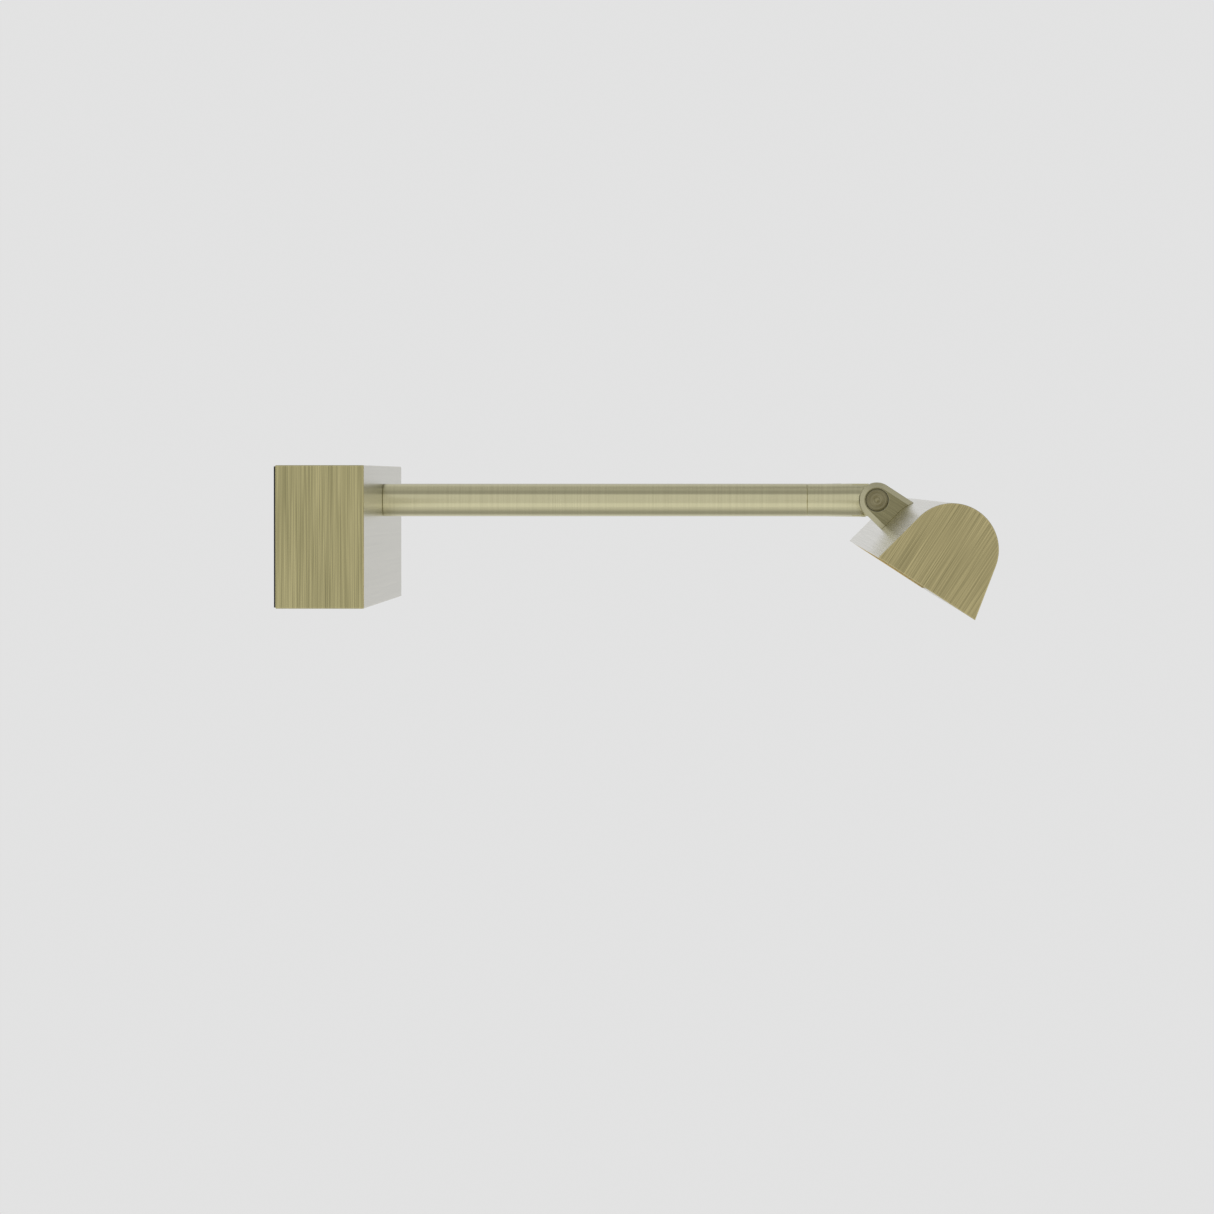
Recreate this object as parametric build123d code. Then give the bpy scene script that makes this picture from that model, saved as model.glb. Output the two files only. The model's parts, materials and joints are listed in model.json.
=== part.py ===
from build123d import *
import math
import os

# A wall-mounted picture light. A shallow rectangular box on the wall holds the LED driver, a slim tube
# arm stands out from its front, and a long D-shaped lamp head hangs on a forked knuckle at the arm's tip.
#
# Frame, in millimetres: the wall is the plane y = 0 and the light stands out from it towards -Y.
# +Z is up and X runs along the lamp head. The origin is the middle of the wall box's back.
#
# Head pieces are drawn about the pivot, with the head's open side facing straight down, and are then
# turned by head_tilt and carried to the pivot. There -Y is forwards, away from the wall.

os.makedirs("parts", exist_ok=True)

# --- driving dimensions ---------------------------------------------------------------------------
box_width = 213.0
box_height = 50.0
box_depth = 31.4           # wall to front face, gasket included
gasket_thickness = 0.5
cover_wall = 1.5
edge_softening = 0.3       # the small break on outside metal edges

arm_height = box_height / 4        # the arm's axis above the box's centre
arm_diameter = 12.0
arm_bore = 9.0
arm_reach = 155.4                  # box front to the seam at the knuckle
pivot_reach = 180.9                # box front to the head's pivot
fit_gap = 0.05                     # radial gap of pieces that screw or plug together

head_length = 500.0
head_radius = 15.0                 # of the round top
head_drop = 15.0                   # round top's centre down to the open rim
head_taper = 12.0                  # lean of each side, degrees
head_forward = 23.7                # pivot to the round top's centre, along the open rim's direction
head_lower = 2.65                  # round top's centre below the pivot
head_tilt = 33.0                   # how far the open side is turned towards the wall, degrees
head_wall = 1.5
cap_thickness = 3.0

cheek_radius = 6.45                # outside of the fork round the pivot
yoke_width = 13.0
yoke_chamfer = 1.8                 # across the cheek's face
yoke_chamfer_depth = 0.75          # down the cheek's side
slot_width = 6.1
slot_base = 5.9                    # pivot to the slot's flat floor
tongue_width = 5.0
shoulder_gap = 0.24                # between the fork's round end and the arm's hollow shoulder
lowest_tilt = 45.0                 # head tilt at which the fork's lower side meets the shoulder
pivot_cap_diameter = 8.0
pivot_cap_thickness = 1.6
sleeve_diameter = 5.0

plate_thickness = 1.5
wire_diameter = 2.4
small_screw, small_tapping, small_clearance = 3.0, 3.05, 3.2
cutter = 9.0                       # length of a cutter that passes through a thin wall

# --- places worked out from them ------------------------------------------------------------------
box_front = -box_depth
inner_front = box_front + cover_wall
arm_end = box_front - arm_reach
pivot_y = box_front - pivot_reach
pivot_place = Pos(0, pivot_y, arm_height)
head_place = pivot_place * Rot(head_tilt, 0, 0)
housing_length = head_length - 2 * cap_thickness
rim_z = -head_lower - head_drop
taper = math.radians(head_taper)


# --- small helpers --------------------------------------------------------------------------------
def rod(diameter, length, axis="Z"):
    """A cylinder centred on the origin, along one axis."""
    turn = {"X": Rot(0, 90, 0), "Y": Rot(90, 0, 0), "Z": Rot(0, 0, 0)}[axis]
    return turn * Cylinder(diameter / 2, length)


def ring(outside, inside, length, axis="Z"):
    """A rod with a hole through it."""
    return rod(outside, length, axis) - rod(inside, length + 1, axis)


def span_y(shape, start, end, x=0.0, z=0.0):
    """A piece drawn along Y about the origin, moved to lie between two y values."""
    return Pos(x, (start + end) / 2, z) * shape


def section_x(face, length):
    """A face drawn in the YZ plane, drawn out along X on both sides."""
    return extrude(Plane.YZ * face, amount=length / 2, both=True)


def wire(points, radius, diameter=wire_diameter):
    """An insulated lead of straight runs joined by arcs."""
    path = FilletPolyline(*points, radius=radius) if len(points) > 2 else Line(*points)
    start = Plane(origin=path @ 0, z_dir=path % 0)
    lead = sweep(start * Circle(diameter / 2), path=path)
    share = lead.volume / (path.length * math.pi * diameter**2 / 4)
    print(f"lead: {path.length:.0f} mm long, volume over section times length {share:.3f}, radius {radius}")
    return lead


def save(name, *pieces):
    """Writes one node: a single solid, or a group of like ones."""
    shape = pieces[0] if len(pieces) == 1 else Compound(children=[Compound(p.solids()) for p in pieces])
    export_step(shape, f"parts/{name}.step")


def countersunk_screw(diameter, head_diameter, length, recess):
    """Flat-topped screw, its head's top at the origin, pointing down -Z, with a hexagonal recess."""
    head_height = (head_diameter - diameter) / 2
    head = Pos(0, 0, -head_height / 2) * Cone(diameter / 2, head_diameter / 2, head_height)
    shank = Pos(0, 0, -length / 2) * Cylinder(diameter / 2, length)
    drive = extrude(RegularPolygon(recess / 2, 6, major_radius=False), amount=-head_height * 0.8)
    return head + shank - drive


def pan_screw(diameter, length, recess=None):
    """Low round-edged screw, its head sitting on the origin's plane, shank pointing down -Z."""
    head_height = diameter * 0.6
    head = Pos(0, 0, head_height / 2) * Cylinder(diameter * 0.95, head_height)
    head = fillet(head.edges().sort_by(Axis.Z)[-1:], head_height * 0.45)
    shank = Pos(0, 0, -length / 2) * Cylinder(diameter / 2, length)
    width = recess or diameter * 0.22
    cross = Box(diameter * 1.1, width, head_height) + Box(width, diameter * 1.1, head_height)
    return head + shank - Pos(0, 0, head_height) * cross


# --- wall box -------------------------------------------------------------------------------------
plate_size = (208.0, 46.0)
fixing_x, fixing_z = 88.0, 18.5        # wall screw slots, from the centre
fixing_width, fixing_length = 4.5, 10.0
tab_x, tab_reach, tab_width = 80.0, 10.0, 16.0
cover_screw_y = -7.0
cover_screw_head, cover_screw_length = 5.5, 5.5
entry_x, entry_hole = -78.0, 13.0
clamp_x, clamp_screw_z = -66.0, 8.0
clamp_width, clamp_height, clamp_length = 6.0, 6.0, 22.0
cord_diameter = 7.0
earth_x, earth_z, earth_diameter = -14.0, 14.0, 4.0
eye_thickness, eye_diameter, eye_hole = 0.9, 8.5, 4.2
neck_length, neck_width = 3.4, 2.4
barrel_diameter, barrel_bore, barrel_length = 2.7, 1.7, 6.0
driver_size = (85.0, 18.5, 26.0)
driver_x, driver_z = 54.0, -1.0
driver_back = -2.5
driver_lug, lug_thickness, lug_height = 7.0, 2.0, 10.0
recess_depth, recess_margin = 2.5, 4.0      # where the leads enter the driver's ends


def wall_plate():
    """Steel plate screwed to the wall. Its bottom tabs are tapped for the cover's screws."""
    width, height = plate_size
    plate = span_y(Box(width, plate_thickness, height), -plate_thickness, 0)
    for x in (-tab_x, tab_x):
        for side in (-1, 1):
            tab = Box(tab_width, tab_reach, plate_thickness)
            z = side * (height / 2 - plate_thickness / 2)
            plate += span_y(tab, -plate_thickness - tab_reach, -plate_thickness, x, z)
        plate -= Pos(x, cover_screw_y, -height / 2) * rod(small_tapping, 4 * plate_thickness)
    slot = Rot(90, 0, 0) * extrude(SlotOverall(fixing_length, fixing_width), amount=cutter, both=True)
    for x in (-fixing_x, fixing_x):
        for z in (-fixing_z, fixing_z):
            plate -= Pos(x, 0, z) * slot
    plate -= Pos(entry_x, 0, 0) * rod(entry_hole, cutter, "Y")
    plate -= Pos(earth_x, 0, earth_z) * rod(earth_diameter + fit_gap, cutter, "Y")
    for z in (-clamp_screw_z, clamp_screw_z):
        plate -= Pos(clamp_x, 0, z) * rod(small_tapping, cutter, "Y")
    for x in driver_lug_places():
        plate -= Pos(x, 0, driver_z) * rod(small_tapping, cutter, "Y")
    return plate


def driver_lug_places():
    """Where the driver's two fixing lugs have their holes, along X."""
    reach = driver_size[0] / 2 + driver_lug / 2
    return (driver_x - reach, driver_x + reach)


def wall_gasket():
    """Thin foam frame between the cover's edge and the wall."""
    inset, clear = 0.4, 0.3
    outside = Box(box_width - 2 * inset, gasket_thickness, box_height - 2 * inset)
    inside = Box(plate_size[0] + 2 * clear, 2 * gasket_thickness, plate_size[1] + 2 * clear)
    return span_y(outside - inside, -gasket_thickness, 0)


def wall_cover():
    """The five-sided metal casing, open towards the wall."""
    depth = box_depth - gasket_thickness
    shell = span_y(Box(box_width, depth, box_height), box_front, -gasket_thickness)
    shell = chamfer(shell.edges(), edge_softening)
    hollow = Box(box_width - 2 * cover_wall, depth, box_height - 2 * cover_wall)
    shell -= span_y(hollow, inner_front, inner_front + depth)
    shell -= Pos(0, box_front, arm_height) * rod(arm_bore + fit_gap, cutter, "Y")
    head_top, head_bottom = cover_screw_head + 0.2, small_screw + 0.1
    sink = Rot(180, 0, 0) * Cone(head_bottom / 2, head_top / 2, (head_top - head_bottom) / 2)
    for x in (-tab_x, tab_x):
        shell -= Pos(x, cover_screw_y, -box_height / 2 + (head_top - head_bottom) / 4) * sink
        shell -= Pos(x, cover_screw_y, -box_height / 2) * rod(head_bottom, cutter)
    return shell


def cover_screws():
    screw = countersunk_screw(small_screw, cover_screw_head, cover_screw_length, recess=2.0)
    screw = Rot(180, 0, 0) * screw
    return [Pos(x, cover_screw_y, -box_height / 2) * screw for x in (-tab_x, tab_x)]


def led_driver():
    """Plastic-cased driver with a fixing lug at each end."""
    length, depth, height = driver_size
    case_rounding, overlap = 2.0, 1.0
    case = fillet(Box(length, depth, height).edges().filter_by(Axis.X), case_rounding)
    case = Pos(0, -depth / 2, 0) * case
    recess = Box(2 * recess_depth, depth / 2, height - 2 * recess_margin)
    for side in (-1, 1):
        lug = Box(driver_lug + overlap, lug_thickness, lug_height)
        lug_x = side * (length / 2 + driver_lug / 2)
        case += Pos(lug_x - side * overlap / 2, -lug_thickness / 2, 0) * lug
        case -= Pos(lug_x, 0, 0) * rod(small_clearance, cutter, "Y")
        case -= Pos(side * length / 2, -depth / 2 - 3, 0) * recess
    return Pos(driver_x, driver_back, driver_z) * case


def driver_screws():
    screw = Rot(90, 0, 0) * pan_screw(small_screw, lug_thickness - driver_back - 0.1)
    seat = driver_back - lug_thickness
    return [Pos(x, seat, driver_z) * screw for x in driver_lug_places()]


terminal_x, terminal_size, terminal_pitch = -48.0, (18.0, 13.0, 25.0), 8.0
terminal_hole, terminal_well, well_depth = 3.4, 3.6, 6.1


def terminal_places():
    return [-terminal_pitch, 0.0, terminal_pitch]


def terminal_block():
    """Three-pole screw terminal block on the wall plate."""
    length, depth, height = terminal_size
    block = Pos(0, -depth / 2, 0) * Box(length, depth, height)
    for z in terminal_places():
        block -= Pos(0, -depth * 0.42, z) * rod(terminal_hole, length + 1, "X")
        for x in (-length / 4, length / 4):
            block -= Pos(x, -depth + 3, z) * rod(terminal_well, well_depth, "Y")
        block -= Pos(0, -depth, z + terminal_pitch / 2) * Box(length + 1, 5, 1.2)
    return Pos(terminal_x, -plate_thickness, 0) * block


def terminal_screws():
    length, depth, _ = terminal_size
    screw_length, slot_depth, slot_cut = 4.0, 0.8, 0.6
    slot = Pos(0, -screw_length / 2, 0) * Box(screw_length, 2 * slot_depth, slot_cut)
    screw = rod(small_screw, screw_length, "Y") - slot
    y = -plate_thickness - depth + 3.6
    return [
        Pos(terminal_x + x, y, z) * screw for z in terminal_places() for x in (-length / 4, length / 4)
    ]


grommet_bore, grommet_length = 8.0, 5.0


def cable_grommet():
    """Rubber grommet that lines the supply cable's hole in the wall plate."""
    flange, groove = 16.0, entry_hole - 2 * fit_gap
    body = rod(flange, grommet_length, "Y") - rod(grommet_bore, cutter, "Y")
    body = span_y(body, -grommet_length, 0)
    seat = ring(flange + 2, groove, plate_thickness + 0.1, "Y")
    return Pos(entry_x, 0, 0) * (body - span_y(seat, -plate_thickness - 0.05, 0.05))


def cord_clamp():
    """Bridge that grips the supply cable's jacket."""
    bridge = Pos(0, -clamp_height / 2, 0) * Box(clamp_width, clamp_height, clamp_length)
    bridge = fillet(bridge.edges().filter_by(Axis.X).group_by(Axis.Y)[0], clamp_height / 3)
    bridge -= rod(cord_diameter, 2 * clamp_width, "X")
    for z in (-clamp_screw_z, clamp_screw_z):
        bridge -= Pos(0, 0, z) * rod(small_clearance, 4 * clamp_height, "Y")
    return Pos(clamp_x, -plate_thickness, 0) * bridge


def clamp_screws():
    screw = Rot(90, 0, 0) * pan_screw(small_screw, clamp_height + plate_thickness - 0.1)
    return [Pos(clamp_x, -plate_thickness - clamp_height, z) * screw for z in (-clamp_screw_z, clamp_screw_z)]


def earth_screw():
    seat = -plate_thickness - eye_thickness - 0.02
    return Pos(earth_x, seat, earth_z) * Rot(90, 0, 0) * pan_screw(earth_diameter, length=2.3)


def earth_ring():
    """Ring terminal under the earth screw, with its crimp barrel."""
    eye = Pos(0, -eye_thickness / 2, 0) * ring(eye_diameter, eye_hole, eye_thickness, "Y")
    neck_x, barrel_x = -4.9, -eye_diameter
    neck = Pos(neck_x, -eye_thickness / 2, 0) * Box(neck_length, eye_thickness, neck_width)
    neck -= rod(eye_hole, cutter, "Y")
    bore = Pos(-barrel_length / 3, 0, 0) * rod(barrel_bore, barrel_length * 2 / 3, "X")
    barrel = Pos(barrel_x, -barrel_diameter / 2, 0) * (rod(barrel_diameter, barrel_length, "X") - bore)
    return Pos(earth_x, -plate_thickness, earth_z) * (eye + neck + barrel)


supply_diameter, supply_bend = 1.7, 9.0
earth_lead_diameter, earth_bend = 1.6, 5.0


def supply_leads():
    """Live and neutral, from the terminal block to the driver."""
    y = -plate_thickness - terminal_size[1] * 0.42
    start = terminal_x + terminal_size[0] / 2
    end = driver_x - driver_size[0] / 2 + recess_depth
    leads = []
    for z_from, z_to in ((-terminal_pitch, -8.0), (0.0, -4.0)):
        points = [(start - 3, y, z_from), (start + 14, y, z_from),
                  (end - 12, y - 7, z_to), (end, y - 7, z_to)]
        leads.append(wire(points, supply_bend, supply_diameter))
    return leads


def earth_lead():
    """Short link from the terminal block to the earth ring."""
    y = -plate_thickness - terminal_size[1] * 0.42
    start = terminal_x + terminal_size[0] / 2
    barrel_y = -plate_thickness - barrel_diameter / 2
    points = [(start - 3, y, terminal_pitch), (start + 3, y, terminal_pitch),
              (earth_x - 14, barrel_y, earth_z), (earth_x - 9, barrel_y, earth_z)]
    return wire(points, earth_bend, earth_lead_diameter)


# --- arm ------------------------------------------------------------------------------------------
stud_diameter = arm_bore - 2 * fit_gap
stud_bore, stud_reach = 5.0, 14.0           # stud_reach is how far it goes into the tube
backing_thickness, backing_width, backing_height = 1.5, 26.0, 18.0
washer_thickness, washer_diameter = 1.0, 15.0
nut_thickness, nut_size = 4.0, 14.0


def arm_stud():
    """Hollow threaded stud that joins the arm tube to the box."""
    inside = inner_front + backing_thickness + washer_thickness + nut_thickness + 1.5
    start, end = box_front - stud_reach, inside
    stud = ring(stud_diameter, stud_bore, end - start, "Y")
    stud = chamfer(stud.edges().filter_by(GeomType.CIRCLE), 0.4)
    return span_y(stud, start, end, z=arm_height)


def arm_backing_plate():
    plate = Box(backing_width, backing_thickness, backing_height) - rod(arm_bore + fit_gap, cutter, "Y")
    return span_y(plate, inner_front, inner_front + backing_thickness, z=arm_height)


def arm_lock_washer():
    start = inner_front + backing_thickness
    washer = ring(washer_diameter, arm_bore + fit_gap, washer_thickness, "Y")
    return span_y(washer, start, start + washer_thickness, z=arm_height)


def arm_nut():
    start = inner_front + backing_thickness + washer_thickness
    nut = extrude(RegularPolygon(nut_size / 2, 6, major_radius=False), amount=nut_thickness / 2, both=True)
    nut = Rot(90, 0, 0) * nut - rod(arm_bore, cutter, "Y")
    return span_y(nut, start, start + nut_thickness, z=arm_height)


grub_y = arm_end + 6.5
grub_length, grub_socket, grub_socket_depth = 3.6, 1.5, 1.6
tube_end_softening = 0.2


def arm_tube():
    tube = rod(arm_diameter, arm_reach, "Y")
    tube = chamfer(tube.edges(), tube_end_softening)
    tube -= rod(arm_bore, arm_reach + 1, "Y")
    tube = span_y(tube, arm_end, box_front, z=arm_height)
    return tube - Pos(0, grub_y, arm_height - arm_diameter / 2) * rod(small_tapping, 6)


knuckle_diameter = 12.35
swell_start, swell_end = arm_end - 6.5, arm_end - 15.5      # where the tip grows to knuckle_diameter
spigot_length = 14.0
tongue_radius = cheek_radius - 0.55
tongue_reach = 12.0
lead_bore, lead_bore_start = 4.6, 9.0       # the bore starts this far behind the pivot
groove_floor = 3.4                  # the lead's groove along the tongue's top, above the pivot
groove_ahead, groove_behind = 4.0, 13.0


def arm_knuckle():
    """Turned tip of the arm: a spigot in the tube, a hollow shoulder and a flat tongue for the pivot."""
    r, big, edge = arm_diameter / 2, knuckle_diameter / 2, tube_end_softening
    profile = Polyline(
        (0, arm_end + spigot_length), (stud_diameter / 2, arm_end + spigot_length),
        (stud_diameter / 2, arm_end), (r - edge, arm_end), (r, arm_end - edge),
        (r, swell_start), (big, swell_end), (big, pivot_y), (0, pivot_y), close=True,
    )
    bar = Pos(0, 0, arm_height) * revolve(make_face(profile), axis=Axis.Y)
    shoulder = bar - pivot_place * fork_clearance()
    neck = Box(tongue_width, tongue_reach, 2 * tongue_radius)
    neck = span_y(neck, pivot_y, pivot_y + tongue_reach, z=arm_height)
    nose = pivot_place * rod(2 * tongue_radius, tongue_width, "X")
    knuckle = shoulder + (neck & bar_envelope(big)) + nose
    knuckle -= pivot_place * rod(sleeve_diameter + 2 * fit_gap, 2 * knuckle_diameter, "X")
    bore_end, bore_start = pivot_y + lead_bore_start, arm_end + spigot_length + 1
    knuckle -= span_y(rod(lead_bore, bore_start - bore_end, "Y"), bore_end, bore_start, z=arm_height)
    groove_width, groove_height = wire_diameter + 0.2, 5.0
    groove = Box(groove_width, groove_ahead + groove_behind, groove_height)
    groove_z = arm_height + groove_floor + groove_height / 2
    knuckle -= span_y(groove, pivot_y - groove_ahead, pivot_y + groove_behind, z=groove_z)
    ramp_length, ramp_height = 11.0, 5.9
    ramp = Box(groove_width, ramp_length, ramp_height)
    knuckle -= span_y(ramp, bore_end, bore_end + ramp_length, z=arm_height + ramp_height / 2)
    return knuckle - Pos(0, grub_y, arm_height - 4) * rod(small_screw, 4)


def fork_clearance():
    """The space that the fork's round end and lower side sweep, widened by the gap."""
    reach, away = cheek_radius + shoulder_gap, 14.0
    angle = math.radians(lowest_tilt + head_taper - 90)
    touch = (reach * math.cos(angle), reach * math.sin(angle))
    end = (touch[0] + away * math.sin(angle), touch[1] - away * math.cos(angle))
    below = make_face(Polyline((0, 0), touch, end, (-away, end[1]), (-away, 0), close=True))
    return rod(2 * reach, 40, "X") + section_x(below, 40)


def bar_envelope(radius):
    """The round bar that the knuckle is turned from."""
    return span_y(rod(2 * radius, 40, "Y"), pivot_y - 10, pivot_y + 30, z=arm_height)


def knuckle_grub_screw():
    socket = extrude(RegularPolygon(grub_socket / 2, 6, major_radius=False), amount=grub_socket_depth)
    screw = Cylinder(small_screw / 2, grub_length) - Pos(0, 0, -grub_length / 2) * socket
    sunk = 0.3
    return Pos(0, grub_y, arm_height - arm_diameter / 2 + sunk + grub_length / 2) * screw


def arm_lead():
    """Low-voltage lead from the driver, through the arm, to the tongue's groove."""
    lead_x = driver_x - driver_size[0] / 2 + recess_depth
    top = arm_height + groove_floor + wire_diameter / 2 + 0.1
    points = [(lead_x - 0.6, -12, 4.0), (0, -12, arm_height), (0, pivot_y + 20, arm_height),
              (0, pivot_y + 9, top), (0, pivot_y + 1, top)]
    return wire(points, radius=7.0)


# --- pivot ----------------------------------------------------------------------------------------
cap_bore = pivot_cap_diameter + 0.5
cap_seat = yoke_width / 2 - pivot_cap_thickness
cap_softening = 0.25
pivot_thread, pivot_socket, pivot_socket_depth = 3.0, 2.5, 1.2


def pivot_barrel():
    """Plain round cap with a threaded sleeve, the hinge pin of the head."""
    cap = Pos(-cap_seat - pivot_cap_thickness / 2, 0, 0) * rod(pivot_cap_diameter, pivot_cap_thickness, "X")
    cap = chamfer(cap.edges().sort_by(Axis.X)[:1], cap_softening)
    reach = 2 * cap_seat - 0.3
    sleeve = Pos(-cap_seat + reach / 2, 0, 0) * rod(sleeve_diameter, reach, "X")
    thread = Pos(-cap_seat + 1 + reach / 2, 0, 0) * rod(pivot_thread, reach, "X")
    return cap + sleeve - thread


def pivot_screw():
    """Socket-headed screw that closes the fork on the tongue."""
    head = Pos(cap_seat + pivot_cap_thickness / 2, 0, 0) * rod(pivot_cap_diameter, pivot_cap_thickness, "X")
    head = chamfer(head.edges().sort_by(Axis.X)[-1:], cap_softening)
    socket = Plane.YZ * RegularPolygon(pivot_socket / 2, 6, major_radius=False)
    head -= Pos(yoke_width / 2, 0, 0) * extrude(socket, amount=-pivot_socket_depth)
    shank = 2 * cap_seat - 1.4
    return head + Pos(cap_seat - shank / 2, 0, 0) * rod(pivot_thread - 2 * fit_gap, shank, "X")


def friction_washers():
    thickness, outside = 0.5, 11.0
    place = tongue_width / 2 + 0.03 + thickness / 2
    washer = ring(outside, sleeve_diameter + 2 * fit_gap, thickness, "X")
    return [Pos(side * place, 0, 0) * washer for side in (-1, 1)]


# --- lamp head ------------------------------------------------------------------------------------
def head_section(inset, bottom, top=None):
    """The head's D-shaped section, moved in from the outside, from `bottom` above the rim up to the crown."""
    r = head_radius - inset
    low = bottom - head_drop
    half = (r - low * math.sin(taper)) / math.cos(taper)
    side = (r * math.cos(taper), r * math.sin(taper))
    outline = Polyline((-side[0], side[1]), (-half, low), (half, low), side)
    face = make_face(outline + ThreePointArc(side, (0, r), (-side[0], side[1])))
    if top is not None:
        height = top - bottom
        face &= Pos(0, low + height / 2) * Rectangle(4 * head_radius, height)
    return Pos(-head_forward, -head_lower) * face


def head_solid(length, inset=0.0, bottom=0.0, top=None):
    return section_x(head_section(inset, bottom, top), length)


lip_bottom, lip_top, lip_width = 2.0, 3.0, 1.6
rest_bottom, rest_top, rest_width = 12.0, 13.0, 1.3
diffuser_thickness = 2.0
carrier_thickness = 2.5
board_thickness = 1.2
board_width = 12.0
board_length = 470.0
chip_pitch = 10.0
slide_gap = 0.15
cap_edge = 0.2
window_length, window_width = 18.0, 9.0
lead_z = 3.5                      # the head lead's hole, above the pivot
lead_hole = 4.0
rib_depth, rib_width = 6.0, 1.6
fin_spacing, fin_thickness, fin_height = 4.5, 1.2, 6.0
chip_size = (2.8, 3.5, 0.8)
connector_size = (7.0, 6.0, 4.0)
board_screw, yoke_screw = 2.4, 2.0
screw_x = (yoke_width + slot_width) / 4
flat_distance = head_forward * math.cos(taper) + head_lower * math.sin(taper) - head_radius


def on_rear_side(shape):
    """Stands a piece drawn along +Z on the head's flat rear side, level with the pivot."""
    turn = Rot(head_taper + 270, 0, 0)
    foot = Pos(0, -flat_distance * math.cos(taper), -flat_distance * math.sin(taper))
    return foot * turn * shape


def head_housing():
    """Long D-shaped shell, open below, with lips for the diffuser and rests for the LED carrier."""
    shell = head_solid(housing_length) - head_solid(housing_length + 2, head_wall, -1.0)
    lips = head_solid(housing_length, head_wall / 2, lip_bottom, lip_top)
    lips -= head_solid(housing_length + 2, head_wall + lip_width, lip_bottom - 1, lip_top + 1)
    rests = head_solid(housing_length, head_wall / 2, rest_bottom, rest_top)
    rests -= head_solid(housing_length + 2, head_wall + rest_width, rest_bottom - 1, rest_top + 1)
    shell = shell + lips + rests
    for x in (-screw_x, screw_x):
        shell -= Pos(x, 0, 0) * on_rear_side(rod(yoke_screw + 0.2, 12))
    return shell - Pos(0, -11, lead_z) * rod(lead_hole, 12, "Y")


def end_cap(side):
    """Flat end plate with a rib that plugs into the housing's arch."""
    plate = Pos(side * (head_length - cap_thickness) / 2, 0, 0) * head_solid(cap_thickness)
    plate = chamfer(plate.faces().sort_by(Axis.X)[-1 if side > 0 else 0].edges(), cap_edge)
    rib_inset = head_wall + slide_gap
    rib_low = rest_top + carrier_thickness + 0.5
    rib = head_solid(rib_depth + 1, rib_inset, rib_low) - head_solid(rib_depth + 3, rib_inset + rib_width, -5)
    return plate + Pos(side * (housing_length / 2 - rib_depth / 2 + 0.5), 0, 0) * rib


def diffuser():
    bottom = lip_top + 0.02
    return head_solid(housing_length - 0.6, head_wall + slide_gap, bottom, bottom + diffuser_thickness)


def led_carrier():
    """Aluminium heat sink that carries the LED board and rests on the housing's ledges."""
    length = housing_length - 14.0
    low = rest_top + 0.02
    plate = head_solid(length, head_wall + slide_gap, low, low + carrier_thickness)
    for n in range(-2, 3):
        y = -head_forward + n * fin_spacing
        z = rim_z + low + carrier_thickness + fin_height / 2 - 0.5
        plate += Pos(0, y, z) * Box(length, fin_thickness, fin_height + 1)
    window = Pos(0, -head_forward, rim_z + low) * Box(window_length, window_width, 40)
    fins_away = Pos(0, -head_forward, rim_z + low + carrier_thickness + 10) * Box(window_length + 12, 40, 20)
    notch = Pos(0, head_radius - head_forward - 1.5, rim_z + low) * Box(16, 5, 10)
    plate = plate - window - fins_away - notch
    for x, y in board_screw_places():
        plate -= Pos(x, y, rim_z + low) * rod(board_screw + 0.1, 7)
    return plate


def board_screw_places():
    return [(x, -head_forward + side * 4.0) for x, side in ((-180, 1), (-60, -1), (60, 1), (180, -1))]


def led_board():
    top = rim_z + rest_top
    board = Pos(0, -head_forward, top - board_thickness / 2) * Box(board_length, board_width, board_thickness)
    for x, y in board_screw_places():
        board -= Pos(x, y, top) * rod(board_screw + 0.3, 7)
    return board


def led_chips():
    count = int(board_length / chip_pitch) - 1
    z = rim_z + rest_top - board_thickness - chip_size[2] / 2
    start = -chip_pitch * (count - 1) / 2
    return [Pos(start + n * chip_pitch, -head_forward, z) * Box(*chip_size) for n in range(count)]


def board_screws():
    screw = Rot(180, 0, 0) * pan_screw(board_screw, 3.4)
    z = rim_z + rest_top - board_thickness
    return [Pos(x, y, z) * screw for x, y in board_screw_places()]


def head_connector():
    height, hole_depth = connector_size[2], 1.5
    block = Pos(0, 0, height / 2) * Box(*connector_size)
    block -= Pos(0, 0, height) * rod(wire_diameter + 0.2, 2 * hole_depth)
    return Pos(0, -head_forward, rim_z + rest_top + 0.01) * block


def head_lead():
    """Low-voltage lead from the fork, through the housing's rear side, down to the LED board."""
    end = rim_z + rest_top + connector_size[2] - 1.4
    points = [(0, -6.4, lead_z), (0, -head_forward, lead_z), (0, -head_forward, end)]
    return wire(points, radius=4.0)


def lead_bush():
    """Nylon bush that keeps the lead off the housing's edge."""
    bore, flange_diameter, flange_thickness = wire_diameter + 0.3, 5.2, 1.0
    body = ring(lead_hole - 2 * fit_gap, bore, 8, "Y")
    start = -(head_forward - math.sqrt(head_radius**2 - (lead_z + head_lower) ** 2))
    inner = head_radius - head_wall
    bush = Pos(0, start - 1.0, lead_z) * body
    flange_top = lead_z + head_lower + flange_diameter / 2
    flange_start = -(head_forward - math.sqrt(inner**2 - flange_top**2)) - fit_gap
    flange = ring(flange_diameter, bore, flange_thickness, "Y")
    flange = span_y(flange, flange_start - flange_thickness, flange_start, z=lead_z)
    outside = head_solid(40) & (Pos(0, start - 3, lead_z) * Box(20, 12, 12))
    return (bush & outside) - Pos(0, flange_start - 6.0, lead_z) * rod(8, 10, "Y") + flange


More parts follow.
